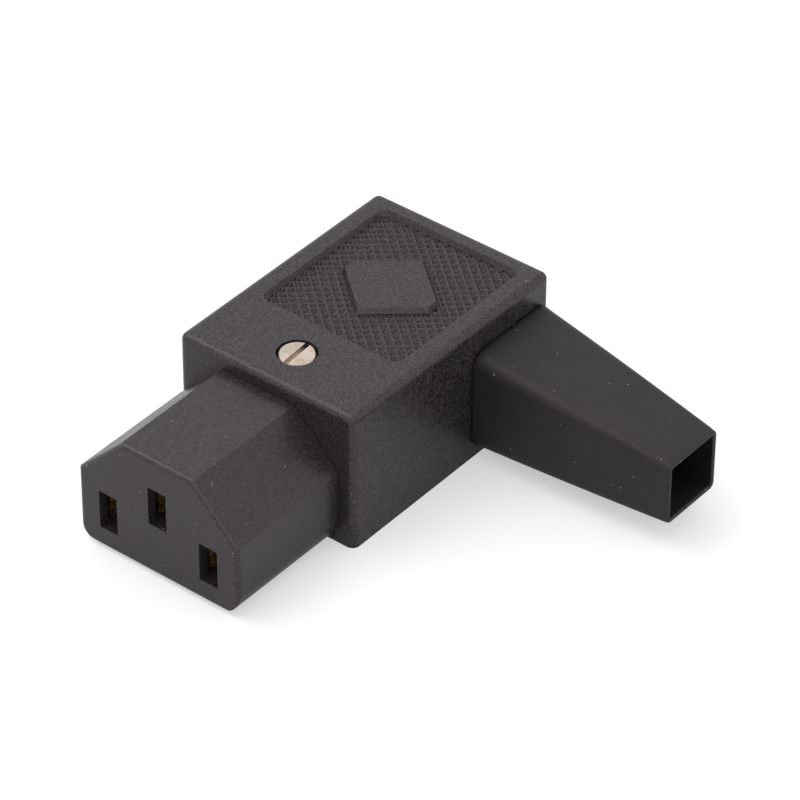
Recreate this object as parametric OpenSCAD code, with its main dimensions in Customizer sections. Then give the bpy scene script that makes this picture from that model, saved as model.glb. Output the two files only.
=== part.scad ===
// Rewireable right-angle appliance connector: three contacts in a nose, a top
// shell held by one screw, and a tapered square boot for the cable.
// Frame: the origin lies on the mating face, midway between the line and
// neutral slots. The nose plugs in towards -Y, the cable leaves towards +X
// and +Z is up. Sizes are in millimetres.

/* [Contact pattern] */
// Distance between the line and neutral contacts
pair_pitch = 14; // [13.5:0.1:14.4]
// Height of the earth contact above the other two
earth_rise = 4; // [3.6:0.1:4.2]
// Height of the line and neutral contacts above the underside
pair_height = 5.45; // [5.3:0.05:5.7]
// Width of a contact slot
slot_w = 2.5; // [2.2:0.1:3]
// Height of a contact slot
slot_h = 4.9; // [4.5:0.1:5.2]

/* [Nose] */
// Width of the nose
nose_w = 22.2; // [21.8:0.1:22.4]
// Height of the nose
nose_h = 15.45; // [15:0.05:16.5]
// Length of the nose in front of the shell
nose_l = 16.7; // [14:0.1:20]
// Height of the nose's bottom face above the underside
nose_lift = 0.35; // [0:0.05:0.6]
// Leg of the two 45 degree bevels along the top of the nose
nose_bevel = 6.1; // [5:0.1:6.5]
// Radius of the two bottom corners of the nose
nose_corner_r = 2.8; // [1.5:0.1:3.2]
// Rounding of the edge round the mating face
nose_edge_r = 0.6; // [0.2:0.1:0.9]
// Thickness of the mating face
nose_face_t = 1.3; // [0.9:0.1:2]
// Step from the nose down to the neck that passes through the shell
neck_step = 0.9; // [0.7:0.1:1.2]

/* [Shell] */
// Width of the shell
shell_w = 24.3; // [24.1:0.1:27]
// Length of the shell
shell_l = 34.1; // [33.6:0.1:38]
// Height of the shell
shell_h = 17.7; // [17.5:0.1:19]
// Sideways offset of the shell from the nose
shell_shift = 0.95; // [0.8:0.05:1.4]
// Thickness of the shell's side walls
wall = 1.5; // [1.3:0.05:1.6]
// Thickness of the shell's roof
roof = 2.3; // [2.1:0.1:2.5]
// Rounding of the shell's outer edges
shell_edge_r = 0.9; // [0.4:0.1:1.2]
// Thickness of the stop and keeper ribs inside the shell
rib_t = 1; // [0.8:0.1:1.2]

/* [Grip panel] */
// Width of the sunk grip panel
grip_w = 19.2; // [17:0.1:20]
// Length of the sunk grip panel
grip_l = 21.5; // [18:0.1:22]
// Distance from the panel to the shell's rear face
grip_margin = 2.1; // [1.5:0.1:2.6]
// Corner radius of the panel
grip_corner_r = 1.1; // [0.6:0.1:2]
// Depth of the panel below the top face
grip_depth = 0.62; // [0.4:0.02:0.8]
// Sideways run of the panel's sloped walls
grip_slope = 0.35; // [0.1:0.05:0.6]
// Pitch of the knurl across the shell
knurl_x = 1.51; // [1.2:0.01:2.4]
// Pitch of the knurl along the shell
knurl_y = 1.28; // [1:0.01:2]
// Width of the flat crest of a knurl rib
knurl_crest = 0.16; // [0.1:0.02:0.3]
// Depth of a knurl pit below the crests
knurl_depth = 0.35; // [0.2:0.05:0.5]
// Width of the raised pad in the panel
pad_w = 11.6; // [9:0.1:13]
// Length of the raised pad in the panel
pad_l = 11.2; // [8:0.1:13]
// Slant of the pad's four long sides, measured from the X axis in degrees
pad_angle = 40; // [35:1:45]

/* [Cable boot] */
// Length of the boot outside the shell
boot_l = 26; // [18:0.5:36]
// Outer width of the boot at the shell
boot_root_w = 12.5; // [11.5:0.1:12.6]
// Outer height of the boot at the shell
boot_root_h = 12; // [10.5:0.1:12.4]
// Outer width of the boot at its tip
boot_tip_w = 8.2; // [7.4:0.1:10]
// Outer height of the boot at its tip
boot_tip_h = 7.5; // [6.8:0.1:9]
// Wall of the boot at the shell
boot_root_wall = 1.4; // [1.2:0.1:1.6]
// Wall of the boot at its tip
boot_tip_wall = 0.5; // [0.4:0.05:0.8]
// Distance from the shell's rear face to the middle of the boot's root
boot_inset = 7.1; // [7:0.05:7.6]
// Height of the middle of the boot's root above the underside
boot_height = 8.1; // [7.9:0.05:8.4]
// Drop of the boot's tip below the middle of its root
boot_drop = 0.9; // [0:0.1:1.5]
// Forward shift of the boot's tip
boot_lean = 1.4; // [0:0.1:2]
// Squareness of the boot's section at the shell
boot_root_square = 5.5; // [4:0.5:8]
// Squareness of the boot's section at its tip
boot_tip_square = 8; // [5:0.5:12]
// Thickness of the flange that holds the boot in the shell
flange_t = 1.3; // [1:0.1:1.5]
// Width of the flange round the boot
flange_rim = 1.1; // [0.9:0.1:1.3]

/* [Carrier] */
// Thickness of the base plate
base_t = 1.8; // [1.5:0.1:2]
// Length of the block that holds the contacts, behind the shell's front face
block_l = 8.6; // [8.2:0.1:9]
// Width of a contact chamber
chamber_w = 4; // [3.8:0.1:4.2]
// Height of a contact chamber
chamber_h = 4.9; // [4.7:0.1:5]

/* [Contacts] */
// Thickness of the contact strip
strip_t = 0.4; // [0.3:0.05:0.5]
// Width of a contact across its two leaves
contact_w = 3.4; // [3:0.1:3.7]
// Height of a contact
contact_h = 4.3; // [3.8:0.1:4.6]
// Gap between the leaves where they pinch the pin
pinch_gap = 1.6; // [1.2:0.1:1.9]
// Gap between the leaves at the mouth
mouth_gap = 2.4; // [2:0.1:2.8]

/* [Terminals] */
// Width of a terminal block
terminal_w = 4.4; // [4:0.1:4.6]
// Length of a terminal block
terminal_l = 7; // [6:0.1:7.5]
// Height of a terminal block
terminal_h = 6; // [5.4:0.1:6.2]
// Width of the wire way through a terminal block
wire_way_w = 2.8; // [2.4:0.1:3]
// Height of the wire way through a terminal block
wire_way_h = 3; // [2.6:0.1:3.2]
// Thread diameter of the terminal screws
terminal_screw_d = 2.5; // [2:0.1:2.6]
// Head diameter of the terminal screws
terminal_head_d = 3.8; // [3.4:0.1:4]
// Thickness of the plate between screw and wire
wire_plate_t = 0.4; // [0.3:0.05:0.5]

/* [Cover screw] */
// Distance from the shell's front face to the cover screw
cover_screw_y = 5.35; // [5:0.05:5.5]
// Head diameter of the cover screw
cover_head_d = 4.2; // [3.8:0.1:4.6]
// Head height of the cover screw
cover_head_h = 1.5; // [1.3:0.1:1.6]
// Thread diameter of the cover screw
cover_thread_d = 2.5; // [2:0.1:3]
// Outer diameter of the threaded bush
bush_d = 4.4; // [4.2:0.1:5]
// Length of the threaded bush
bush_l = 2.8; // [2.2:0.1:2.9]
// Angle at which the screwdriver slot has come to rest, in degrees
slot_turn = 3.7; // [0:0.1:20]

/* [Cord grip] */
// Diameter of the cord way
cord_d = 6.4; // [6:0.1:6.6]
// Distance from the shell's rear face to the cord's axis
cord_inset = 8.9; // [8.8:0.05:9.4]
// Height of the cord's axis above the underside
cord_height = 7.4; // [7:0.1:7.8]
// Width of the saddle along the cord
saddle_w = 5.4; // [4.6:0.1:5.8]
// Thickness of the saddle
saddle_t = 1.2; // [1:0.1:1.5]
// Distance between the saddle's two screws
saddle_pitch = 10.6; // [10.5:0.05:10.8]
// Thread diameter of the saddle screws
saddle_screw_d = 2.2; // [1.8:0.1:2.4]
// Head diameter of the saddle screws
saddle_head_d = 3.6; // [3.2:0.1:3.7]

/* [Fits] */
// Gap round pieces that are pushed into the shell
fit_gap = 0.12; // [0.08:0.02:0.2]
// Gap between a thread and its hole
thread_gap = 0.04; // [0.02:0.01:0.06]
// Gap round a screw shank in a through hole
shank_gap = 0.15; // [0.1:0.05:0.25]
// Gap round the cover screw's head
head_gap = 0.2; // [0.1:0.05:0.3]

/* [Hidden] */
$fn = 48;
cut = 1;
inner_reach = 60;

// Shell, in the body frame: X from the nose's middle, Y from the shell's front
// face, Z from the underside.
shell_x0 = shell_shift - shell_w / 2;
shell_x1 = shell_shift + shell_w / 2;
inner_x0 = shell_x0 + wall;
inner_x1 = shell_x1 - wall;
inner_y1 = shell_l - wall;
ceiling = shell_h - roof;

// Contacts
earth_height = pair_height + earth_rise;
LINE = [pair_pitch / 2, pair_height];
NEUTRAL = [-pair_pitch / 2, pair_height];
EARTH = [0, earth_height];
CONTACTS = [LINE, NEUTRAL, EARTH];
contact_y0 = -nose_l + nose_face_t + 3 * fit_gap;
leaf_l = nose_l * 0.45;
terminal_y0 = block_l + fit_gap;
terminal_y1 = terminal_y0 + terminal_l;
screw_y = terminal_y0 + terminal_l * 0.55;
terminal_bottom = terminal_h / 2;
way_floor = wire_way_h / 2 + 0.4;
way_ceiling = wire_way_h - way_floor;
plate_top = way_ceiling - 0.6;
terminal_shank_l = terminal_h / 2 - plate_top + 0.5;
terminal_head_h = 1.3;
driver_slot = 0.6;

// Cover screw and its bush
seat_z = shell_h - cover_head_h;
bush_top = ceiling - fit_gap;
cover_screw_x = shell_shift;

// Boot
boot_y = shell_l - boot_inset;
boot_tip_x = shell_x1 + boot_l;
flange_x1 = inner_x1;
flange_x0 = flange_x1 - flange_t;
keeper_x = flange_x0 - fit_gap - rib_t;
flange_top = min(boot_height + boot_root_h / 2 + flange_rim, ceiling - fit_gap);
flange_front = boot_y - boot_root_w / 2 - flange_rim;
flange_back = min(boot_y + boot_root_w / 2 + flange_rim, inner_y1 - fit_gap);
flange_bottom = base_t + fit_gap;

// Cord grip
cord_y = shell_l - cord_inset;
saddle_x = keeper_x - fit_gap - saddle_w / 2;
saddle_seat = cord_height + cord_d / 4;
boss_d = saddle_screw_d + 1.9;
saddle_shank_l = 4.4;
saddle_head_h = 1.2;

// Grip panel
grip_low = [shell_shift - grip_w / 2, shell_l - grip_margin - grip_l];
grip_high = grip_low + [grip_w, grip_l];
grip_mid = (grip_low + grip_high) / 2;
grip_floor = shell_h - grip_depth;

// ---------------------------------------------------------------- helpers

// Moves from the body frame to the part's frame.
module in_body() {
    translate([0, nose_l, -pair_height]) children();
}

// Stands a flat outline up across the body at depth y, to be extruded backwards.
module facing_back(y) {
    translate([0, y, 0]) mirror([0, 1, 0]) rotate([90, 0, 0]) children();
}

// Stands a flat outline up along the body at x, to be extruded to the right.
module facing_right(x) {
    translate([x, 0, 0]) rotate([90, 0, 90]) children();
}

// Box between two opposite corners.
module span_box(low, high) {
    translate(low) cube(high - low);
}

function reversed(points) = [for (i = [len(points) - 1:-1:0]) points[i]];
function flipped(points) = [for (p = points) [-p.x, p.y]];

// Rectangle between two opposite corners, its own corners rounded.
module round_rect(low, high, r) {
    translate([low.x + r, low.y]) square([high.x - low.x - 2 * r, high.y - low.y]);
    translate([low.x, low.y + r]) square([high.x - low.x, high.y - low.y - 2 * r]);
    for (x = [low.x + r, high.x - r], y = [low.y + r, high.y - r])
        translate([x, y]) circle(r);
}

// Closed solid through a list of rings, each with the same number of points.
// The last ring joins the first, so the rings run out along the outside and
// back along the inside.
module loft_loop(rings) {
    n = len(rings[0]);
    m = len(rings);
    polyhedron(
        points = [for (ring = rings) each ring],
        faces = [for (k = [0:m - 1], i = [0:n - 1])
            let (a = k * n, b = ((k + 1) % m) * n, j = (i + 1) % n)
            each [[a + i, b + j, a + j], [a + i, b + i, b + j]]]
    );
}

// Slotted cheese head screw, head on top, with the head's seat at z = 0.
module slotted_screw(head_d, head_h, thread_d, shank_l, slot_wide, slot_deep, turn) {
    bevel = head_h * 0.12;
    difference() {
        rotate_extrude() polygon([
            [0, -shank_l], [thread_d / 2 - bevel, -shank_l], [thread_d / 2, -shank_l + bevel],
            [thread_d / 2, 0], [head_d / 2, 0], [head_d / 2, head_h - bevel],
            [head_d / 2 - bevel, head_h], [0, head_h]
        ]);
        rotate(turn) translate([-slot_wide / 2, -head_d, head_h - slot_deep])
            cube([slot_wide, 2 * head_d, slot_deep + cut]);
    }
}

// ---------------------------------------------------------------- housing

// Block with rounded upright and top edges and a flat bottom.
module shell_block() {
    r = shell_edge_r;
    low = [shell_x0, 0];
    high = [shell_x1, shell_l];
    linear_extrude(shell_h - r) round_rect(low, high, r);
    span_box([shell_x0 + r, r, r], [shell_x1 - r, shell_l - r, shell_h]);
    for (x = [shell_x0 + r, shell_x1 - r])
        translate([x, r, shell_h - r]) rotate([-90, 0, 0]) cylinder(r = r, h = shell_l - 2 * r);
    for (y = [r, shell_l - r])
        translate([shell_x0 + r, y, shell_h - r]) rotate([0, 90, 0]) cylinder(r = r, h = shell_w - 2 * r);
    for (x = [shell_x0 + r, shell_x1 - r], y = [r, shell_l - r])
        translate([x, y, shell_h - r]) sphere(r);
}

module grip_outline(inset) {
    round_rect(grip_low + [inset, inset], grip_high - [inset, inset], grip_corner_r);
}

module grip_recess() {
    hull() {
        translate([0, 0, grip_floor]) linear_extrude(0.01) grip_outline(grip_slope, $fn = 32);
        translate([0, 0, shell_h]) linear_extrude(cut) grip_outline(0, $fn = 32);
    }
}

// Six-sided pad outline: two points on the Y axis, two short upright sides.
module pad_outline(grow) {
    half = pad_w / 2 + grow;
    tip = pad_l / 2 + grow / cos(pad_angle);
    side = max(tip - half * tan(pad_angle), 0);
    translate(grip_mid)
        polygon([[0, tip], [half, side], [half, -side], [0, -tip], [-half, -side], [-half, side]]);
}

// Raised pad with sloped sides, flush with the top face.
module grip_pad() {
    sink = 0.3;
    hull() {
        translate([0, 0, grip_floor - sink]) linear_extrude(0.01) pad_outline(grip_slope * (1 + sink / grip_depth));
        translate([0, 0, shell_h - 0.01]) linear_extrude(0.01) pad_outline(0);
    }
}

// Rows of pits, four-sided and pointed, with narrow flat ribs left between them.
module knurl_pits() {
    share = 1 - knurl_crest * norm([knurl_x, knurl_y]) / (knurl_x * knurl_y);
    rise = knurl_crest / 8;
    half = [knurl_x, knurl_y] * share / 2 * (1 + rise / knurl_depth);
    rows = ceil(grip_l / knurl_y);
    columns = ceil(grip_w / knurl_x / 2);
    middles = [for (row = [-rows:rows], column = [-columns:columns])
        let (spot = [(column + (row % 2 == 0 ? 0 : 0.5)) * knurl_x, row * knurl_y / 2])
        if (abs(spot.x) < grip_w / 2 && abs(spot.y) < grip_l / 2) spot];
    translate([grip_mid.x, grip_mid.y, grip_floor]) polyhedron(
        points = [for (p = middles) each [
            [p.x + half.x, p.y, rise], [p.x, p.y + half.y, rise], [p.x - half.x, p.y, rise],
            [p.x, p.y - half.y, rise], [p.x, p.y, -knurl_depth]]],
        faces = [for (k = [0:len(middles) - 1]) let (a = 5 * k) each [
            [a + 3, a + 2, a + 1, a], [a, a + 1, a + 4], [a + 1, a + 2, a + 4],
            [a + 2, a + 3, a + 4], [a + 3, a, a + 4]]]
    );
}

module knurl() {
    intersection() {
        knurl_pits();
        translate([0, 0, grip_floor - knurl_depth - cut]) linear_extrude(knurl_depth + 2 * cut) difference() {
            grip_outline(grip_slope);
            pad_outline(grip_slope);
        }
    }
}

module shell_cavity() {
    span_box([inner_x0, wall, -cut], [inner_x1, inner_y1, ceiling]);
}

// Ribs that hold the boot's flange and stop the base plate.
module shell_ribs() {
    span_box([keeper_x, flange_front, flange_top - rib_t], [keeper_x + rib_t, inner_y1, ceiling + cut]);
    for (x = [shell_shift - shell_w * 0.3, shell_shift])
        span_box([x - rib_t / 2, inner_y1 - rib_t * 0.7, base_t + fit_gap], [x + rib_t / 2, shell_l - wall / 2, ceiling + cut]);
}

module tongue_boxes(gap) {
    for (x = [shell_shift - shell_w * 0.22, shell_shift + shell_w * 0.1])
        span_box([x - 1.5 - gap, inner_y1 - fit_gap - cut, base_t - 1 - gap], [x + 1.5 + gap, inner_y1 + wall * 0.45 + gap, base_t + gap]);
}

module housing() {
    color([0.10, 0.10, 0.11]) in_body() difference() {
        union() {
            difference() {
                shell_block();
                shell_cavity();
                grip_recess();
            }
            grip_pad();
            shell_ribs();
        }
        facing_back(-cut) linear_extrude(wall + 2 * cut) neck_profile(fit_gap, cut);
        facing_right(flange_x0 - fit_gap) linear_extrude(boot_l) polygon(boot_outline(0, fit_gap));
        knurl();
        translate([cover_screw_x, cover_screw_y, 0]) {
            translate([0, 0, seat_z]) cylinder(d = cover_head_d + 2 * head_gap, h = cover_head_h + cut);
            cylinder(d = cover_thread_d + 2 * shank_gap, h = shell_h);
        }
        tongue_boxes(fit_gap);
    }
}

// ---------------------------------------------------------------- carrier

// Outline of the nose seen from the front, X across and Y up.
module nose_profile(inset) {
    w = nose_w / 2 - inset;
    low = nose_lift + inset;
    high = nose_lift + nose_h - inset;
    bevel = nose_bevel - inset * (2 - sqrt(2));
    r = max(nose_corner_r - inset, 0.2);
    polygon([
        [-w, low + r], [w, low + r], [w, high - bevel], [w - bevel, high],
        [bevel - w, high], [-w, high - bevel]
    ]);
    translate([r - w, low]) square([2 * (w - r), r + cut]);
    for (x = [r - w, w - r]) translate([x, low + r]) circle(r);
}

// Neck outline: the nose's outline set in, with its foot drawn straight down.
module neck_profile(gap, foot) {
    w = nose_w / 2 - neck_step + gap;
    nose_profile(neck_step - gap);
    translate([-w, -foot]) square([2 * w, foot + nose_lift + nose_corner_r + gap]);
}

// Half space behind the mating face and under one face of the nose, with the
// edge between the two rounded. Angle 0 faces +X and 90 faces +Z.
module rounded_side(angle, reach) {
    r = nose_edge_r;
    rotate([0, -angle, 0]) translate([0, 0, -inner_reach / 2]) linear_extrude(inner_reach) {
        translate([-inner_reach, r - nose_l]) square([inner_reach + reach, inner_reach]);
        translate([-inner_reach, -nose_l]) square([inner_reach + reach - r, inner_reach]);
        translate([reach - r, r - nose_l]) circle(r);
    }
}

module nose_block() {
    middle = nose_lift + nose_h / 2;
    half = nose_w / 2;
    bevel_reach = (half + nose_h / 2 - nose_bevel) / sqrt(2);
    intersection() {
        facing_back(-nose_l) linear_extrude(nose_l - fit_gap / 2) nose_profile(0);
        translate([0, 0, middle]) intersection() {
            rounded_side(0, half);
            rounded_side(180, half);
            rounded_side(90, nose_h / 2);
            rounded_side(270, nose_h / 2);
            rounded_side(45, bevel_reach);
            rounded_side(135, bevel_reach);
        }
    }
}

// Room for one contact, open to the rear, and its slot in the mating face.
module contact_room(spot) {
    translate([spot.x, 0, spot.y]) {
        span_box([-chamber_w / 2, nose_face_t - nose_l, -chamber_h / 2],
                 [chamber_w / 2, block_l + cut, chamber_h / 2]);
        span_box([-slot_w / 2, -nose_l - cut, -slot_h / 2],
                 [slot_w / 2, nose_face_t - nose_l + cut, slot_h / 2]);
    }
}

// Seat under a line or neutral terminal, with a lip behind it.
module terminal_seat(spot) {
    half = terminal_w / 2;
    span_box([spot.x - half, block_l - cut, 0],
             [spot.x + half, terminal_y1 + fit_gap, spot.y - terminal_bottom]);
    span_box([spot.x - half, terminal_y1 + fit_gap, 0],
             [spot.x + half, terminal_y1 + fit_gap + rib_t, spot.y - way_floor]);
}

// Trough that carries the earth terminal above and between the other two.
module earth_trough() {
    half = terminal_w / 2 + fit_gap;
    difference() {
        span_box([-half - rib_t, block_l - cut, 0],
                 [half + rib_t, terminal_y1 + fit_gap + rib_t, earth_height + terminal_h * 0.3]);
        span_box([-half, block_l, earth_height - terminal_bottom],
                 [half, terminal_y1 + fit_gap, earth_height + terminal_h]);
        span_box([-half, block_l, earth_height - way_floor],
                 [half, terminal_y1 + inner_reach, earth_height + terminal_h]);
    }
}

// Two screw bosses with a cradle for the cord between them.
module cord_seat() {
    for (side = [-1, 1]) translate([saddle_x, cord_y + side * saddle_pitch / 2, 0])
        cylinder(d = boss_d, h = saddle_seat);
    span_box([saddle_x - saddle_w / 2, cord_y - saddle_pitch / 2, 0],
             [saddle_x + saddle_w / 2, cord_y + saddle_pitch / 2, cord_height - cord_d * 0.3]);
}

module saddle_screw_holes(d, low) {
    for (side = [-1, 1]) translate([saddle_x, cord_y + side * saddle_pitch / 2, low])
        cylinder(d = d, h = inner_reach);
}

module cord_way() {
    translate([saddle_x - inner_reach / 2, cord_y, cord_height]) rotate([0, 90, 0])
        cylinder(d = cord_d, h = inner_reach);
}

module contact_carrier() {
    color([0.07, 0.07, 0.08]) in_body() difference() {
        union() {
            nose_block();
            facing_back(-cut) linear_extrude(2 * cut) nose_profile(neck_step);
            facing_back(0) linear_extrude(wall + cut / 2) neck_profile(0, 0);
            span_box([max(inner_x0 + fit_gap, neck_step - nose_w / 2), wall + fit_gap, 0],
                     [min(inner_x1 - fit_gap, nose_w / 2 - neck_step), block_l, bush_top]);
            span_box([inner_x0 + fit_gap, wall + fit_gap, 0],
                     [inner_x1 - fit_gap, inner_y1 - fit_gap, base_t]);
            terminal_seat(LINE);
            terminal_seat(NEUTRAL);
            earth_trough();
            cord_seat();
            tongue_boxes(0);
            span_box([keeper_x, flange_front, 0],
                     [keeper_x + rib_t, inner_y1 - fit_gap - rib_t, boot_height - boot_root_h / 2 + boot_root_wall]);
        }
        for (spot = CONTACTS) contact_room(spot);
        translate([cover_screw_x, cover_screw_y, bush_top - bush_l])
            cylinder(d = bush_d + 2 * thread_gap, h = bush_l + cut);
        cord_way();
        saddle_screw_holes(saddle_screw_d + 2 * thread_gap, saddle_seat - saddle_shank_l);
    }
}

// ---------------------------------------------------------------- boot

// Squared oval of the boot's section at share t of its length, seen from +X.
// A higher squareness gives tighter corners and flatter sides.
function boot_outline(t, grow) =
    let (
        u = max(t, 0),
        w = boot_root_w + (boot_tip_w - boot_root_w) * u + 2 * grow,
        h = boot_root_h + (boot_tip_h - boot_root_h) * u + 2 * grow,
        p = 2 / (boot_root_square + (boot_tip_square - boot_root_square) * u),
        y = boot_y - boot_lean * u,
        z = boot_height - boot_drop * u
    )
    [for (a = [0:6:354])
        [y + w / 2 * sign(cos(a)) * pow(abs(cos(a)), p), z + h / 2 * sign(sin(a)) * pow(abs(sin(a)), p)]];

function boot_ring(t, x, grow) = [for (p = boot_outline(t, grow)) [x, p.x, p.y]];

function boot_wall_at(t) = boot_root_wall + (boot_tip_wall - boot_root_wall) * t;

module cable_boot() {
    shares = [0, 0.25, 0.5, 0.75, 1];
    outside = [for (t = shares) boot_ring(t, shell_x1 + t * boot_l, 0)];
    inside = [for (t = [1, 0.75, 0.5, 0.25, 0]) boot_ring(t, shell_x1 + t * boot_l, -boot_wall_at(t))];
    color([0.12, 0.12, 0.12]) in_body() {
        loft_loop(concat(
            [boot_ring(0, flange_x0, 0)], outside,
            inside, [boot_ring(0, flange_x0, -boot_root_wall)]
        ));
        facing_right(flange_x0) linear_extrude(flange_t) difference() {
            round_rect([flange_front, flange_bottom], [flange_back, flange_top], 1);
            polygon(boot_outline(0, -boot_root_wall / 2));
        }
    }
}

// ---------------------------------------------------------------- contacts

// Female contact, one bent strip: two leaves that close on the pin, joined by a
// web behind.
module contact(spot) {
    half = contact_w / 2;
    outer = [
        [half, terminal_y0], [half, contact_y0 + leaf_l],
        [pinch_gap / 2 + strip_t, contact_y0 + leaf_l * 0.2], [mouth_gap / 2 + strip_t, contact_y0]
    ];
    inner = [for (i = [0:3]) outer[i] - [strip_t, i == 0 ? strip_t : 0]];
    color([0.80, 0.66, 0.36]) in_body() translate([spot.x, 0, spot.y])
        linear_extrude(contact_h, center = true)
            polygon(concat(flipped(reversed(outer)), outer, reversed(inner), flipped(inner)));
}

module line_contact() { contact(LINE); }
module neutral_contact() { contact(NEUTRAL); }
module earth_contact() { contact(EARTH); }

// Pillar terminal: a wire way from the rear and a clamping screw from above.
module terminal(spot) {
    color([0.78, 0.68, 0.42]) in_body() translate([spot.x, 0, spot.y]) difference() {
        span_box([-terminal_w / 2, terminal_y0, -terminal_bottom], [terminal_w / 2, terminal_y1, terminal_h / 2]);
        span_box([-wire_way_w / 2, terminal_y0 + 1, -way_floor], [wire_way_w / 2, terminal_y1 + cut, way_ceiling]);
        translate([0, screw_y, 0]) cylinder(d = terminal_screw_d + 2 * thread_gap, h = terminal_h);
    }
}

module line_terminal() { terminal(LINE); }
module neutral_terminal() { terminal(NEUTRAL); }
module earth_terminal() { terminal(EARTH); }

module terminal_screw(spot) {
    color([0.75, 0.75, 0.74]) in_body() translate([spot.x, screw_y, spot.y + plate_top + terminal_shank_l])
        slotted_screw(terminal_head_d, terminal_head_h, terminal_screw_d, terminal_shank_l, driver_slot, driver_slot, 30);
}

module line_screw() { terminal_screw(LINE); }
module neutral_screw() { terminal_screw(NEUTRAL); }
module earth_screw() { terminal_screw(EARTH); }

// Bent plate that spreads the screw's force over the strands of the wire.
module wire_plate(spot) {
    half = wire_way_w / 2 - fit_gap;
    front = terminal_y0 + 1 + fit_gap;
    color([0.80, 0.80, 0.78]) in_body() translate([spot.x, 0, spot.y]) {
        span_box([-half, front, plate_top - wire_plate_t], [half, terminal_y1 - 0.5, plate_top]);
        span_box([-half, front, -way_floor], [half, front + wire_plate_t, plate_top]);
    }
}

module line_wire_plate() { wire_plate(LINE); }
module neutral_wire_plate() { wire_plate(NEUTRAL); }
module earth_wire_plate() { wire_plate(EARTH); }

// ---------------------------------------------------------------- fixings

module cover_screw() {
    color([0.85, 0.83, 0.78]) in_body() translate([cover_screw_x, cover_screw_y, seat_z])
        slotted_screw(cover_head_d, cover_head_h - 0.05, cover_thread_d, seat_z - bush_top + bush_l - fit_gap,
                      0.62, 0.7, slot_turn);
}

module threaded_bush() {
    color([0.80, 0.66, 0.36]) in_body() translate([cover_screw_x, cover_screw_y, bush_top - bush_l]) difference() {
        cylinder(d = bush_d, h = bush_l);
        translate([0, 0, -cut]) cylinder(d = cover_thread_d + 2 * thread_gap, h = bush_l + 2 * cut);
    }
}

// Arched strap over the cord, flat where its two screws hold it.
module cord_saddle() {
    reach = saddle_pitch / 2 + saddle_screw_d / 2 + 0.8;
    color([0.10, 0.10, 0.11]) in_body() difference() {
        facing_right(saddle_x - saddle_w / 2) linear_extrude(saddle_w) difference() {
            union() {
                translate([cord_y, cord_height]) circle(cord_d / 2 + saddle_t);
                translate([cord_y - reach, saddle_seat]) square([2 * reach, saddle_t]);
            }
            translate([cord_y, cord_height]) circle(cord_d / 2);
            translate([cord_y - inner_reach / 2, saddle_seat - inner_reach]) square(inner_reach);
        }
        saddle_screw_holes(saddle_screw_d + 2 * shank_gap, 0);
    }
}

module saddle_screw(side) {
    color([0.75, 0.75, 0.74]) in_body()
        translate([saddle_x, cord_y + side * saddle_pitch / 2, saddle_seat + saddle_t])
            slotted_screw(saddle_head_d, saddle_head_h, saddle_screw_d, saddle_t + saddle_shank_l - 0.6,
                          driver_slot, driver_slot, 75);
}

module front_saddle_screw() { saddle_screw(-1); }
module rear_saddle_screw() { saddle_screw(1); }

housing();
contact_carrier();
cable_boot();
line_contact();
neutral_contact();
earth_contact();
line_terminal();
neutral_terminal();
earth_terminal();
line_screw();
neutral_screw();
earth_screw();
line_wire_plate();
neutral_wire_plate();
earth_wire_plate();
cover_screw();
threaded_bush();
cord_saddle();
front_saddle_screw();
rear_saddle_screw();
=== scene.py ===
"""Dresses a right-angle appliance connector, in black plastic with a rubber cable boot.

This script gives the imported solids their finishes, models the cable boot more
smoothly than its solid does, and sets up the studio and the camera. Everything
is in metres, in the frame of the solids: origin on the mating face, -Y the
plug-in direction, +X the side the cable leaves by, +Z up.
"""

import logging
import math
from dataclasses import dataclass
from enum import Enum
from typing import Any, Iterable, Sequence

import bmesh
import bpy
from mathutils import Matrix, Vector

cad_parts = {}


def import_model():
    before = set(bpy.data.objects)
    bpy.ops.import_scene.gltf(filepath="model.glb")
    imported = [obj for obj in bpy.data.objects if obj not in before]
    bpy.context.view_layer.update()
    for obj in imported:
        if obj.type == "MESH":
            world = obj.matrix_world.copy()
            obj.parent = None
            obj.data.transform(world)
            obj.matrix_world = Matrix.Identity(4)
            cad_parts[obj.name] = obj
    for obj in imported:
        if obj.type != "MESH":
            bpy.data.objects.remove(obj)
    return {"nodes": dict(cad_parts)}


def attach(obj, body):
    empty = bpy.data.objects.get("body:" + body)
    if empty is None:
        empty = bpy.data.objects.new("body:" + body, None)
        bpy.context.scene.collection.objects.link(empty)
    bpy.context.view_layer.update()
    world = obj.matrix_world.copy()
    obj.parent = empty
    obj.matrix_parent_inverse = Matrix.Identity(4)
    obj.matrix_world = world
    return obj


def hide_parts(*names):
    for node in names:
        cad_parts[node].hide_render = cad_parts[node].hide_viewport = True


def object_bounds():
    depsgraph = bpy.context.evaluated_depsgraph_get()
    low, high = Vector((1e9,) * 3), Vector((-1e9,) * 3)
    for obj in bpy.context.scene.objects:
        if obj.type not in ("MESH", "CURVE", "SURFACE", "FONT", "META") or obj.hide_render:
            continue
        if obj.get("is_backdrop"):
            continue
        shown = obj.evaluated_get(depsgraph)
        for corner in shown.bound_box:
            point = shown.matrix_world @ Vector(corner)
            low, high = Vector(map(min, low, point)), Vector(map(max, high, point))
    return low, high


LOG = logging.getLogger("connector")
MILLIMETRE = 0.001
QUARTER = math.pi / 2

Colour = tuple[float, float, float]
Point = tuple[float, float, float]
Flat = tuple[float, float]

VIOLET_CAST: Colour = (1.0, 0.90, 0.99)


class Socket(Enum):
    """Inputs of the surface shader that the finishes set."""

    COLOUR = "Base Color"
    ROUGHNESS = "Roughness"
    METALLIC = "Metallic"
    SPECULAR_TINT = "Specular Tint"
    NORMAL = "Normal"
    IOR = "IOR"


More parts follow.
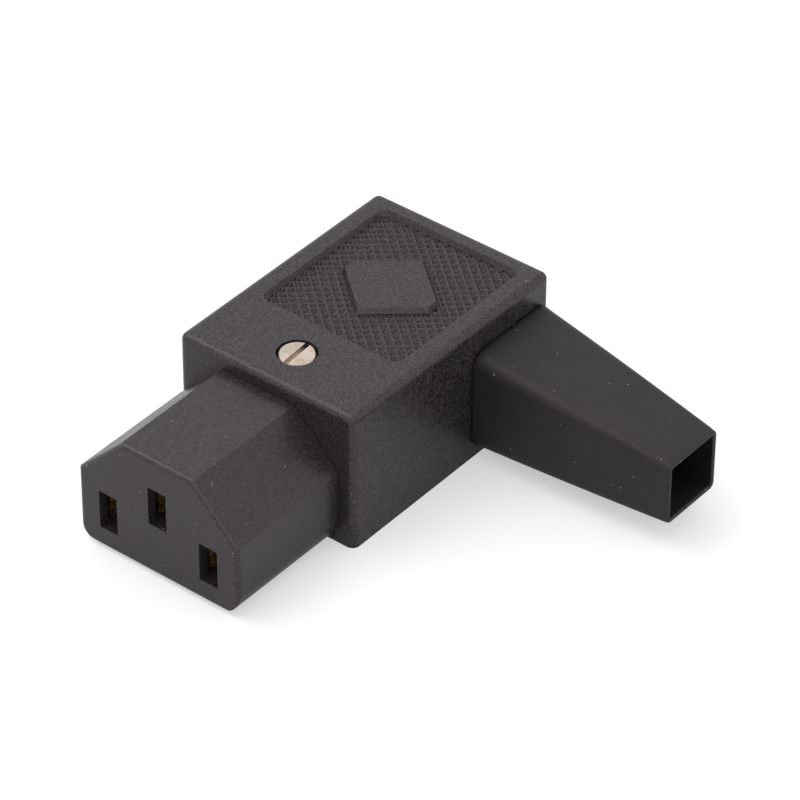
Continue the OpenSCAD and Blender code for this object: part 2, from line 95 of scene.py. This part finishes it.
def metres(millimetres: float) -> float:
    """Return a length given in millimetres in metres."""
    return millimetres * MILLIMETRE


def between(low: float, high: float, share: float) -> float:
    """Return the value at a share of the way from one to another."""
    return low + (high - low) * share


class NodeSheet:
    """A material's node tree, filled node by node.

    Attributes:
        SPECK_REACH: Radius of a speck of dust, as a share of the spacing.
        MIX_SOCKETS: Places of the share and the two colours among a colour
            mix's inputs.
        MIX_RESULT: Place of the mixed colour among its outputs.
    """

    SPECK_REACH = 0.16
    MIX_SOCKETS = (0, 6, 7)
    MIX_RESULT = 2

    def __init__(self, name: str) -> None:
        """Start an empty material with a surface shader and an output.

        Args:
            name: Name of the material.
        """
        self.material = bpy.data.materials.new(name)
        self.material.use_nodes = True
        self.tree = self.material.node_tree
        self.tree.nodes.clear()
        self.output = self.tree.nodes.new("ShaderNodeOutputMaterial")
        self.surface = self.tree.nodes.new("ShaderNodeBsdfPrincipled")
        self.join(self.surface.outputs["BSDF"], self.output.inputs["Surface"])
        place = self.tree.nodes.new("ShaderNodeTexCoord")
        self.place = place.outputs["Object"]

    def join(self, source: bpy.types.NodeSocket, target: bpy.types.NodeSocket) -> None:
        """Link one socket to another."""
        self.tree.links.new(source, target)

    def set(self, socket: Socket, value: Any) -> None:
        """Give one input of the surface shader a fixed value."""
        if socket in (Socket.COLOUR, Socket.SPECULAR_TINT):
            value = (*value, 1.0)
        self.surface.inputs[socket.value].default_value = value

    def feed(self, socket: Socket, source: bpy.types.NodeSocket) -> None:
        """Drive one input of the surface shader from a texture."""
        self.join(source, self.surface.inputs[socket.value])

    def node(self, kind: str, **inputs: Any) -> bpy.types.Node:
        """Add a node and fill its inputs.

        Args:
            kind: The node's type name.
            **inputs: Values or source sockets, by input name, with spaces
                written as underscores.

        Returns:
            The new node.
        """
        made = self.tree.nodes.new(kind)
        for key, value in inputs.items():
            target = made.inputs[key.replace("_", " ")]
            if isinstance(value, bpy.types.NodeSocket):
                self.join(value, target)
            else:
                target.default_value = value
        return made

    def math(self, operation: str, *values: Any) -> bpy.types.NodeSocket:
        """Add a maths node and return its result.

        Args:
            operation: Name of the operation.
            *values: Numbers or source sockets, in the node's order.

        Returns:
            The node's output socket.
        """
        made = self.tree.nodes.new("ShaderNodeMath")
        made.operation = operation
        for slot, value in zip(made.inputs, values):
            if isinstance(value, bpy.types.NodeSocket):
                self.join(value, slot)
            else:
                slot.default_value = value
        return made.outputs[0]

    def noise(self, size: float, detail: float = 2.0, rough: float = 0.5) -> bpy.types.NodeSocket:
        """Add a noise whose features are about one size across.

        Args:
            size: Feature size in metres.
            detail: Octaves of finer noise on top.
            rough: Strength of the finer octaves.

        Returns:
            The noise value, from 0 to 1.
        """
        made = self.node("ShaderNodeTexNoise", Vector=self.place, Scale=1.0 / size,
                         Detail=detail, Roughness=rough)
        return made.outputs["Fac"]

    def spread(self, source: bpy.types.NodeSocket, low: float, high: float,
               start: float = 0.3, stop: float = 0.7) -> bpy.types.NodeSocket:
        """Stretch a value's range onto another.

        Args:
            source: The value to stretch.
            low: Result at and below the start.
            high: Result at and above the stop.
            start: Value that gives the low result.
            stop: Value that gives the high result.

        Returns:
            The stretched value.
        """
        made = self.node("ShaderNodeMapRange", Value=source)
        for name, value in (("From Min", start), ("From Max", stop), ("To Min", low), ("To Max", high)):
            made.inputs[name].default_value = value
        return made.outputs["Result"]

    def blend(self, share: bpy.types.NodeSocket, first: Colour, second: Colour) -> bpy.types.NodeSocket:
        """Blend two colours by a share and return the colour."""
        ramp = self.tree.nodes.new("ShaderNodeValToRGB")
        ramp.color_ramp.elements[0].color = (*first, 1.0)
        ramp.color_ramp.elements[1].color = (*second, 1.0)
        self.join(share, ramp.inputs["Fac"])
        return ramp.outputs["Color"]

    def dusted(self, under: bpy.types.NodeSocket, dust: Colour, spacing: float,
               bare: float) -> bpy.types.NodeSocket:
        """Scatter small pale specks over a colour.

        Args:
            under: The colour below the dust.
            dust: Colour of a speck.
            spacing: Distance between the places where a speck may lie.
            bare: Share of those places that have none.

        Returns:
            The colour with its specks.
        """
        cells = self.node("ShaderNodeTexVoronoi", Vector=self.place, Scale=1.0 / spacing)
        near = self.math("LESS_THAN", cells.outputs["Distance"], self.SPECK_REACH)
        pick = self.node("ShaderNodeSeparateColor", Color=cells.outputs["Color"])
        chosen = self.math("GREATER_THAN", pick.outputs["Red"], bare)
        mixed = self.tree.nodes.new("ShaderNodeMix")
        mixed.data_type = "RGBA"
        share, first, second = (mixed.inputs[place] for place in self.MIX_SOCKETS)
        self.join(self.math("MULTIPLY", near, chosen), share)
        self.join(under, first)
        second.default_value = (*dust, 1.0)
        return mixed.outputs[self.MIX_RESULT]

    def bump(self, height: bpy.types.NodeSocket, depth: float,
             under: bpy.types.NodeSocket | None = None) -> bpy.types.NodeSocket:
        """Turn a height into a surface normal.

        Args:
            height: Height from 0 to 1.
            depth: Depth in metres that the full height stands for.
            under: Normal that this one lies on, if there is one.

        Returns:
            The normal.
        """
        made = self.node("ShaderNodeBump", Height=height, Strength=1.0, Distance=depth)
        if under is not None:
            self.join(under, made.inputs["Normal"])
        return made.outputs["Normal"]


@dataclass(frozen=True)
class MouldedPlastic:
    """Injection-moulded plastic with a fine spark-eroded grain. Lengths are in metres.

    Attributes:
        name: Name of the finish.
        colour: Colour of the plastic.
        pale: Colour of the worn and dusty grain tops.
        roughness: Mean roughness.
        grain: Size of the grain.
        grain_depth: Depth of the grain.
        swell: Depth of the slow waviness left by shrinkage.
        wave: Length of that waviness.
        cloud: Size of the patches that differ in gloss.
        dust: Colour of the specks of dust on it.
        dust_spacing: Distance between the places where a speck may lie.
        dust_free: Share of those places that have none.
    """

    name: str
    colour: Colour
    pale: Colour
    roughness: float = 0.34
    grain: float = metres(0.12)
    grain_depth: float = metres(0.004)
    swell: float = metres(0.02)
    wave: float = metres(7.0)
    cloud: float = metres(4.0)
    dust: Colour = (0.30, 0.27, 0.24)
    dust_spacing: float = metres(0.55)
    dust_free: float = 0.985

    def material(self) -> bpy.types.Material:
        """Build the material."""
        sheet = NodeSheet(self.name)
        grain = sheet.noise(self.grain, detail=3.0, rough=0.6)
        cloud = sheet.noise(self.cloud, detail=2.0)
        wave = sheet.noise(self.wave, detail=0.0)
        colour = sheet.blend(sheet.spread(grain, 0.0, 1.0, 0.42, 0.72), self.colour, self.pale)
        sheet.feed(Socket.COLOUR, sheet.dusted(colour, self.dust, self.dust_spacing, self.dust_free))
        rough = sheet.math("ADD", sheet.spread(grain, self.roughness - 0.06, self.roughness + 0.08),
                           sheet.spread(cloud, -0.03, 0.03))
        sheet.feed(Socket.ROUGHNESS, rough)
        slow = sheet.bump(wave, self.swell)
        sheet.feed(Socket.NORMAL, sheet.bump(grain, self.grain_depth, slow))
        sheet.set(Socket.IOR, 1.5)
        sheet.set(Socket.SPECULAR_TINT, VIOLET_CAST)
        return sheet.material


@dataclass(frozen=True)
class BootRubber:
    """Matte black moulded rubber. Lengths are in metres.

    Attributes:
        name: Name of the finish.
        colour: Colour of the rubber.
        bloom: Paler colour where the surface has bloomed.
        roughness: Mean roughness.
        grain: Size of the grain.
        grain_depth: Depth of the grain.
        cloud: Size of the patches that have bloomed.
        dust: Colour of the specks of dust on it.
        dust_spacing: Distance between the places where a speck may lie.
        dust_free: Share of those places that have none.
    """

    name: str
    colour: Colour
    bloom: Colour
    roughness: float = 0.55
    grain: float = metres(0.3)
    grain_depth: float = metres(0.007)
    cloud: float = metres(5.0)
    dust: Colour = (0.36, 0.31, 0.26)
    dust_spacing: float = metres(0.5)
    dust_free: float = 0.97

    def material(self) -> bpy.types.Material:
        """Build the material."""
        sheet = NodeSheet(self.name)
        grain = sheet.noise(self.grain, detail=3.0, rough=0.65)
        cloud = sheet.noise(self.cloud, detail=3.0)
        colour = sheet.blend(sheet.spread(cloud, 0.0, 1.0), self.colour, self.bloom)
        sheet.feed(Socket.COLOUR, sheet.dusted(colour, self.dust, self.dust_spacing, self.dust_free))
        sheet.feed(Socket.ROUGHNESS, sheet.spread(grain, self.roughness - 0.06, self.roughness + 0.1))
        sheet.feed(Socket.NORMAL, sheet.bump(grain, self.grain_depth))
        sheet.set(Socket.IOR, 1.5)
        sheet.set(Socket.SPECULAR_TINT, VIOLET_CAST)
        return sheet.material


@dataclass(frozen=True)
class PlainMetal:
    """Stamped, turned or drawn metal with faint tool marks. Lengths are in metres.

    Attributes:
        name: Name of the finish.
        colour: Colour of the clean metal.
        stain: Colour of the tarnish in its hollows.
        roughness: Mean roughness.
        marks: Width of the tool marks.
        mark_depth: Depth of the tool marks.
        cloud: Size of the tarnished patches.
    """

    name: str
    colour: Colour
    stain: Colour
    roughness: float = 0.28
    marks: float = metres(0.25)
    mark_depth: float = metres(0.004)
    cloud: float = metres(1.4)

    def material(self) -> bpy.types.Material:
        """Build the material."""
        sheet = NodeSheet(self.name)
        cloud = sheet.noise(self.cloud, detail=4.0)
        marks = sheet.noise(self.marks, detail=5.0, rough=0.7)
        tarnish = sheet.spread(cloud, 0.0, 1.0, 0.45, 0.75)
        sheet.feed(Socket.COLOUR, sheet.blend(tarnish, self.colour, self.stain))
        sheet.feed(Socket.ROUGHNESS, sheet.spread(marks, self.roughness - 0.08, self.roughness + 0.1))
        sheet.feed(Socket.NORMAL, sheet.bump(marks, self.mark_depth))
        sheet.set(Socket.METALLIC, 1.0)
        return sheet.material


Finish = MouldedPlastic | BootRubber | PlainMetal

SHELL_PLASTIC = MouldedPlastic(
    "shell_plastic", colour=(0.008, 0.0068, 0.0082), pale=(0.078, 0.068, 0.076),
    grain=metres(0.22), grain_depth=metres(0.009))
CARRIER_PLASTIC = MouldedPlastic(
    "carrier_plastic", colour=(0.018, 0.0155, 0.0175), pale=(0.052, 0.045, 0.051),
    roughness=0.30, grain=metres(0.3), grain_depth=metres(0.004))
SADDLE_PLASTIC = MouldedPlastic("saddle_plastic", colour=(0.020, 0.020, 0.021), pale=(0.034, 0.034, 0.035))
BOOT_RUBBER = BootRubber("boot_rubber", colour=(0.007, 0.0062, 0.0075), bloom=(0.012, 0.0104, 0.0122))
CONTACT_BRASS = PlainMetal("contact_brass", colour=(0.83, 0.66, 0.36), stain=(0.60, 0.42, 0.20))
TERMINAL_BRASS = PlainMetal("terminal_brass", colour=(0.78, 0.64, 0.38), stain=(0.52, 0.38, 0.20))
BUSH_BRASS = PlainMetal("bush_brass", colour=(0.80, 0.64, 0.36), stain=(0.55, 0.40, 0.20))
PLATE_STEEL = PlainMetal("plate_steel", colour=(0.62, 0.62, 0.60), stain=(0.42, 0.40, 0.36))
SCREW_STEEL = PlainMetal("screw_steel", colour=(0.60, 0.60, 0.58), stain=(0.40, 0.38, 0.34))
COVER_SCREW_NICKEL = PlainMetal("cover_screw_nickel", colour=(0.66, 0.58, 0.50), stain=(0.46, 0.36, 0.28))

FINISH_OF_NODE: dict[str, Finish] = {
    "housing": SHELL_PLASTIC,
    "contact_carrier": CARRIER_PLASTIC,
    "cable_boot": BOOT_RUBBER,
    "cord_saddle": SADDLE_PLASTIC,
    "cover_screw": COVER_SCREW_NICKEL,
    "threaded_bush": BUSH_BRASS,
    "front_saddle_screw": SCREW_STEEL,
    "rear_saddle_screw": SCREW_STEEL,
    "line_contact": CONTACT_BRASS,
    "neutral_contact": CONTACT_BRASS,
    "earth_contact": CONTACT_BRASS,
    "line_terminal": TERMINAL_BRASS,
    "neutral_terminal": TERMINAL_BRASS,
    "earth_terminal": TERMINAL_BRASS,
    "line_screw": SCREW_STEEL,
    "neutral_screw": SCREW_STEEL,
    "earth_screw": SCREW_STEEL,
    "line_wire_plate": PLATE_STEEL,
    "neutral_wire_plate": PLATE_STEEL,
    "earth_wire_plate": PLATE_STEEL,
}


class Dresser:
    """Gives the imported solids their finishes."""

    def __init__(self, nodes: dict[str, bpy.types.Object]) -> None:
        """Remember the solids by name.

        Args:
            nodes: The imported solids, by node name.
        """
        self.nodes = nodes
        self.made: dict[str, bpy.types.Material] = {}

    def finish(self, name: str, finish: Finish) -> None:
        """Put one finish on one solid.

        Args:
            name: The node's name.
            finish: The finish it takes.
        """
        if finish.name not in self.made:
            self.made[finish.name] = finish.material()
        solid = self.nodes[name]
        for slot in solid.material_slots:
            slot.material = self.made[finish.name]
        LOG.info("%s finished in %s", name, finish.name)


@dataclass(frozen=True)
class SquareSection:
    """A rounded rectangle across the boot, seen from +X. Lengths are in metres.

    Attributes:
        middle: Its middle, across and up.
        width: Width, front to back.
        height: Height.
        corner: Radius of its corners.
        least_corner: Least radius that an inset leaves.
        corner_steps: Steps round each corner.
        side_steps: Steps along each side.
    """

    middle: Flat
    width: float
    height: float
    corner: float
    least_corner: float = metres(0.15)
    corner_steps: int = 10
    side_steps: int = 8

    def towards(self, other: "SquareSection", share: float) -> "SquareSection":
        """Return the section at a share of the way to another one.

        Args:
            other: The section at share 1.
            share: Share of the way, from 0 to 1.

        Returns:
            The section between the two.
        """
        across, up = (between(here, there, share) for here, there in zip(self.middle, other.middle))
        return SquareSection(
            (across, up),
            width=between(self.width, other.width, share),
            height=between(self.height, other.height, share),
            corner=between(self.corner, other.corner, share),
        )

    def inset(self, depth: float) -> "SquareSection":
        """Return the section drawn in all round by a depth."""
        return SquareSection(self.middle, self.width - 2 * depth, self.height - 2 * depth,
                             max(self.corner - depth, self.least_corner))

    def arc(self, x: float, quarter: int) -> list[Vector]:
        """Return the points round one corner.

        Args:
            x: Place along the boot.
            quarter: Which corner, counted anticlockwise from the one high
                at the back.

        Returns:
            The points, anticlockwise.
        """
        back, high = ((1, 1), (-1, 1), (-1, -1), (1, -1))[quarter]
        across = self.middle[0] + back * (self.width / 2 - self.corner)
        up = self.middle[1] + high * (self.height / 2 - self.corner)
        turns = [QUARTER * (quarter + step / self.corner_steps) for step in range(self.corner_steps + 1)]
        return [Vector((x, across + self.corner * math.cos(turn), up + self.corner * math.sin(turn)))
                for turn in turns]

    def loop(self, x: float) -> list[Vector]:
        """Return the points all round the section, anticlockwise, at one place along the boot."""
        arcs = [self.arc(x, quarter) for quarter in range(4)]
        points = []
        for arc, after in zip(arcs, arcs[1:] + arcs[:1]):
            points += arc
            points += [arc[-1].lerp(after[0], step / self.side_steps) for step in range(1, self.side_steps)]
        return points


@dataclass
class CableBoot:
    """The soft tapered sleeve that the cable leaves by. Lengths are in metres.

    Attributes:
        shell_x: Place of the housing's side wall, where the boot comes out.
        flange_x: Place of the boot's flange behind that wall.
        tip_x: Place of its open end.
        root: Section at the housing.
        tip: Section at the open end.
        neck: Section inside the wall.
        root_wall: Thickness of its wall at the housing.
        tip_wall: Thickness of its wall at the open end.
        root_r: Rounding of the edge that faces the housing.
        lip_r: Rounding of the open end's outer edge.
        lip_bevel: Bevel of the open end's inner edge.
        bow: Most that the sides bulge out half way along.
        flange: The flange's outline.
        flange_t: Thickness of the flange.
        flange_bevel: Bevel of the flange's inner edge.
        flange_hole: How far inside the neck's outline the flange's hole is.
        edge_steps: Steps round each rounded edge.
        outer_rings: Lengths of skin on the outside.
        inner_rings: Lengths of skin on the inside.
        crease: Least angle of an edge that stays sharp.
    """

    shell_x: float = metres(13.13)
    flange_x: float = metres(10.3)
    tip_x: float = metres(39.0)
    root: SquareSection = SquareSection(
        (metres(43.55), metres(2.4)), width=metres(13.3), height=metres(12.8), corner=metres(1.7))
    tip: SquareSection = SquareSection(
        (metres(42.22), metres(1.8)), width=metres(8.7), height=metres(8.0), corner=metres(0.85))
    neck: SquareSection = SquareSection(
        (metres(43.7), metres(2.65)), width=metres(12.3), height=metres(11.8), corner=metres(1.6))
    root_wall: float = metres(1.4)
    tip_wall: float = metres(0.62)
    root_r: float = metres(0.3)
    lip_r: float = metres(0.22)
    lip_bevel: float = metres(0.12)
    bow: float = metres(0.08)
    flange: SquareSection = SquareSection(
        (metres(42.75), metres(3.1)), width=metres(12.8), height=metres(13.2), corner=metres(1.0))
    flange_t: float = metres(1.3)
    flange_bevel: float = metres(0.15)
    flange_hole: float = metres(0.7)
    edge_steps: int = 5
    outer_rings: int = 28
    inner_rings: int = 10
    crease: float = math.radians(40.0)

    def outside(self, share: float) -> SquareSection:
        """Return the outer section at a share of the boot's length."""
        bulge = -self.bow * math.sin(math.pi * share)
        return self.root.towards(self.tip, share).inset(bulge)

    def inside(self, share: float) -> SquareSection:
        """Return the inner section at a share of the boot's length."""
        return self.outside(share).inset(between(self.root_wall, self.tip_wall, share))

    def place(self, share: float) -> float:
        """Return the place along X of a share of the boot's length."""
        return between(self.shell_x, self.tip_x, share)

    def turns(self) -> list[float]:
        """Return the angles of the steps round a rounded edge, from 0 to a quarter turn."""
        return [QUARTER * step / self.edge_steps for step in range(self.edge_steps + 1)]

    def root_edge(self) -> list[tuple[float, SquareSection]]:
        """Return the places and sections of the edge that faces the housing."""
        return [(self.place(0.0) + self.root_r * (1 - math.cos(turn)),
                 self.outside(0.0).inset(self.root_r * (1 - math.sin(turn)))) for turn in self.turns()]

    def lip(self) -> list[tuple[float, SquareSection]]:
        """Return the places and sections of the open end's edges, from the outside in."""
        rounded = [(self.place(1.0) - self.lip_r * (1 - math.sin(turn)),
                    self.outside(1.0).inset(self.lip_r * (1 - math.cos(turn)))) for turn in self.turns()]
        return [*rounded, (self.tip_x, self.outside(1.0).inset(self.tip_wall - self.lip_bevel)),
                (self.tip_x - self.lip_bevel, self.inside(1.0))]

    def sections(self) -> list[tuple[float, SquareSection]]:
        """Return every place and section in order: out along the outside, and back inside."""
        out = [step / self.outer_rings for step in range(1, self.outer_rings)]
        back = [step / self.inner_rings for step in range(self.inner_rings - 1, -1, -1)]
        return [(self.flange_x, self.neck), (self.place(0.0), self.neck), *self.root_edge(),
                *((self.place(share), self.outside(share)) for share in out), *self.lip(),
                *((self.place(share), self.inside(share)) for share in back),
                (self.flange_x, self.neck.inset(self.root_wall))]

    def flange_sections(self) -> list[tuple[float, SquareSection]]:
        """Return the places and sections round the flange, a plate with a hole through it."""
        hole = self.neck.inset(self.flange_hole)
        far = self.flange_x + self.flange_t
        return [(self.flange_x, self.flange.inset(self.flange_bevel)),
                (self.flange_x + self.flange_bevel, self.flange),
                (far, self.flange), (far, hole), (self.flange_x, hole)]

    @staticmethod
    def cover(skin: bmesh.types.BMesh, sections: list[tuple[float, SquareSection]]) -> None:
        """Add a closed ring of skin that runs through some sections and back to the first.

        Args:
            skin: The mesh that gets the skin.
            sections: The places and sections, in order.
        """
        rings = [[skin.verts.new(point) for point in section.loop(x)] for x, section in sections]
        for one, other in zip(rings, rings[1:] + rings[:1]):
            for k, after in zip(range(len(one)), [*range(1, len(one)), 0]):
                skin.faces.new((one[k], one[after], other[after], other[k]))

    def build(self, finish: BootRubber) -> bpy.types.Object:
        """Build the boot, in place of the plain one.

        Args:
            finish: The rubber it is made of.

        Returns:
            The boot.
        """
        skin = bmesh.new()
        self.cover(skin, self.sections())
        self.cover(skin, self.flange_sections())
        bmesh.ops.recalc_face_normals(skin, faces=skin.faces)
        mesh = bpy.data.meshes.new("cable_boot_sleeve")
        skin.to_mesh(mesh)
        skin.free()
        mesh.shade_smooth()
        mesh.set_sharp_from_angle(angle=self.crease)
        mesh.materials.append(finish.material())
        piece = bpy.data.objects.new("cable_boot_sleeve", mesh)
        bpy.context.scene.collection.objects.link(piece)
        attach(piece, "root")
        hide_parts("cable_boot")
        return piece


@dataclass
class ViewCamera:
    """The camera, turned and placed for the view the part is judged from.

    Attributes:
        azimuth: Angle of the camera round the part from -Y, in degrees.
        elevation: Angle of the camera above the part, in degrees.
        roll: Turn of the picture, in degrees.
        distance: Distance from the aim point, in metres.
        focal_length: Focal length in millimetres.
        sensor: Width of the sensor in millimetres.
        aim: Point in the middle of the picture.
        near: Distance nearer than which nothing is shown, in metres.
    """

    azimuth: float = 38.52
    elevation: float = 37.86
    roll: float = 0.317
    distance: float = 0.49777
    focal_length: float = 206.26
    sensor: float = 36.0
    aim: Point = (0.007783, 0.031184, 0.003653)
    near: float = 0.01

    def build(self) -> bpy.types.Object:
        """Add the camera and make it the scene's own.

        Returns:
            The camera object.
        """
        turn, rise, roll = (math.radians(a) for a in (self.azimuth, self.elevation, self.roll))
        back = Vector((math.sin(turn) * math.cos(rise), -math.cos(turn) * math.cos(rise), math.sin(rise)))
        level = Vector((math.cos(turn), math.sin(turn), 0.0))
        upright = back.cross(level)
        right = level * math.cos(roll) + upright * math.sin(roll)
        up = upright * math.cos(roll) - level * math.sin(roll)
        data = bpy.data.cameras.new("camera")
        data.lens = self.focal_length
        data.sensor_width = self.sensor
        data.clip_start = self.near
        camera = bpy.data.objects.new("camera", data)
        turned = Matrix((right, up, back)).transposed().to_4x4()
        camera.matrix_world = Matrix.Translation(Vector(self.aim) + back * self.distance) @ turned
        bpy.context.scene.collection.objects.link(camera)
        bpy.context.scene.camera = camera
        return camera


@dataclass(frozen=True)
class SoftBox:
    """A large soft lamp. Lengths are in metres.

    Attributes:
        name: Name of the lamp.
        place: Where it hangs.
        size: Width and height of its face.
        power: Power in watts.
    """

    name: str
    place: Point
    size: Flat
    power: float

    def build(self, aim: Vector) -> bpy.types.Object:
        """Add the lamp, facing a point.

        Args:
            aim: Point that the lamp faces.

        Returns:
            The lamp object.
        """
        data = bpy.data.lights.new(self.name, "AREA")
        data.shape = "RECTANGLE"
        data.size, data.size_y = self.size
        data.energy = self.power
        lamp = bpy.data.objects.new(self.name, data)
        place = Vector(self.place)
        turn = (place - aim).to_track_quat("Z", "Y")
        lamp.matrix_world = Matrix.Translation(place) @ turn.to_matrix().to_4x4()
        bpy.context.scene.collection.objects.link(lamp)
        return lamp


@dataclass
class Studio:
    """Pale floor, white surroundings and soft lamps.

    Attributes:
        floor_size: Side of the floor, in metres.
        floor_colour: Colour of the floor.
        floor_paler: How much paler its palest patches are.
        floor_grain: Size of those patches, in metres.
        lift: Plain white added to the floor for the camera.
        mirrored_lift: Plain white added to it in mirrored rays.
        ambient: Brightness of the surroundings for light that falls on
            the part.
        mirrored: Brightness of the surroundings in mirrored rays.
    """

    floor_size: float = 3.0
    floor_colour: Colour = (0.74, 0.74, 0.74)
    floor_paler: float = 0.02
    floor_grain: float = metres(6.0)
    lift: float = 0.42
    mirrored_lift: float = 0.1
    ambient: float = 0.75
    mirrored: float = 1.0

    def lamps(self) -> tuple[SoftBox, ...]:
        """Return the soft boxes round the part."""
        return (
            SoftBox("key_box", (-0.35, -0.15, 0.75), (0.6, 0.6), 2.0),
            SoftBox("fill_box", (0.55, -0.55, 0.45), (0.5, 0.5), 0.6),
        )

    def floor_material(self) -> bpy.types.Material:
        """Build the floor's material: diffuse, with plain white added for what sees it directly."""
        sheet = NodeSheet("floor_card")
        sheet.tree.nodes.remove(sheet.surface)
        paler = tuple(min(channel + self.floor_paler, 1.0) for channel in self.floor_colour)
        card = sheet.blend(sheet.noise(self.floor_grain, detail=2.0), self.floor_colour, paler)
        diffuse = sheet.node("ShaderNodeBsdfDiffuse", Color=card)
        path = sheet.tree.nodes.new("ShaderNodeLightPath")
        mirrored = sheet.math("MAXIMUM", path.outputs["Is Glossy Ray"], path.outputs["Is Transmission Ray"])
        strength = sheet.math("ADD", sheet.math("MULTIPLY", path.outputs["Is Camera Ray"], self.lift),
                              sheet.math("MULTIPLY", mirrored, self.mirrored_lift))
        glow = sheet.node("ShaderNodeEmission", Strength=strength)
        both = sheet.tree.nodes.new("ShaderNodeAddShader")
        sheet.join(diffuse.outputs[0], both.inputs[0])
        sheet.join(glow.outputs[0], both.inputs[1])
        sheet.join(both.outputs[0], sheet.output.inputs["Surface"])
        return sheet.material

    def build_floor(self, height: float) -> bpy.types.Object:
        """Lay the floor under the part.

        Args:
            height: Height of the part's underside, in metres.

        Returns:
            The floor object.
        """
        half = self.floor_size / 2
        mesh = bpy.data.meshes.new("floor")
        corners = [(-half, -half, height), (half, -half, height), (half, half, height), (-half, half, height)]
        mesh.from_pydata(corners, [], [range(len(corners))])
        mesh.materials.append(self.floor_material())
        floor = bpy.data.objects.new("floor", mesh)
        bpy.context.scene.collection.objects.link(floor)
        floor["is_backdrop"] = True
        return floor

    def build_world(self) -> None:
        """Surround the part with white that lights it softly."""
        world = bpy.data.worlds.new("surroundings")
        bpy.context.scene.world = world
        world.use_nodes = True
        tree = world.node_tree
        tree.nodes.clear()
        path = tree.nodes.new("ShaderNodeLightPath")
        through, seen = (tree.nodes.new("ShaderNodeMath") for _ in range(2))
        through.operation = seen.operation = "MAXIMUM"
        strength = tree.nodes.new("ShaderNodeMapRange")
        strength.inputs["To Min"].default_value = self.ambient
        strength.inputs["To Max"].default_value = self.mirrored
        white = tree.nodes.new("ShaderNodeBackground")
        white.inputs["Color"].default_value = (1.0, 1.0, 1.0, 1.0)
        output = tree.nodes.new("ShaderNodeOutputWorld")
        for source, target in (
            (path.outputs["Is Glossy Ray"], through.inputs[0]),
            (path.outputs["Is Transmission Ray"], through.inputs[1]),
            (path.outputs["Is Camera Ray"], seen.inputs[0]),
            (through.outputs[0], seen.inputs[1]),
            (seen.outputs[0], strength.inputs["Value"]),
            (strength.outputs["Result"], white.inputs["Strength"]),
            (white.outputs[0], output.inputs["Surface"]),
        ):
            tree.links.new(source, target)

    def build(self, low: Vector, high: Vector) -> None:
        """Set up the floor, the surroundings and the lamps.

        Args:
            low: Lowest corner of the part.
            high: Highest corner of the part.
        """
        self.build_floor(low.z)
        self.build_world()
        for lamp in self.lamps():
            lamp.build((low + high) / 2)
        bpy.context.scene.view_settings.view_transform = "Standard"


def main() -> None:
    """Load the solids, dress them and set up the studio."""
    logging.basicConfig(level=logging.INFO, format="%(name)s: %(message)s")
    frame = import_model()
    solid_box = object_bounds()
    ViewCamera().build()
    dresser = Dresser(frame["nodes"])
    for name, finish in FINISH_OF_NODE.items():
        dresser.finish(name, finish)
    sleeve = CableBoot().build(BOOT_RUBBER)
    LOG.info("%s built with %d faces", sleeve.name, len(sleeve.data.polygons))
    Studio().build(*(Vector(corner) for corner in solid_box))


if __name__ == "__main__":
    main()
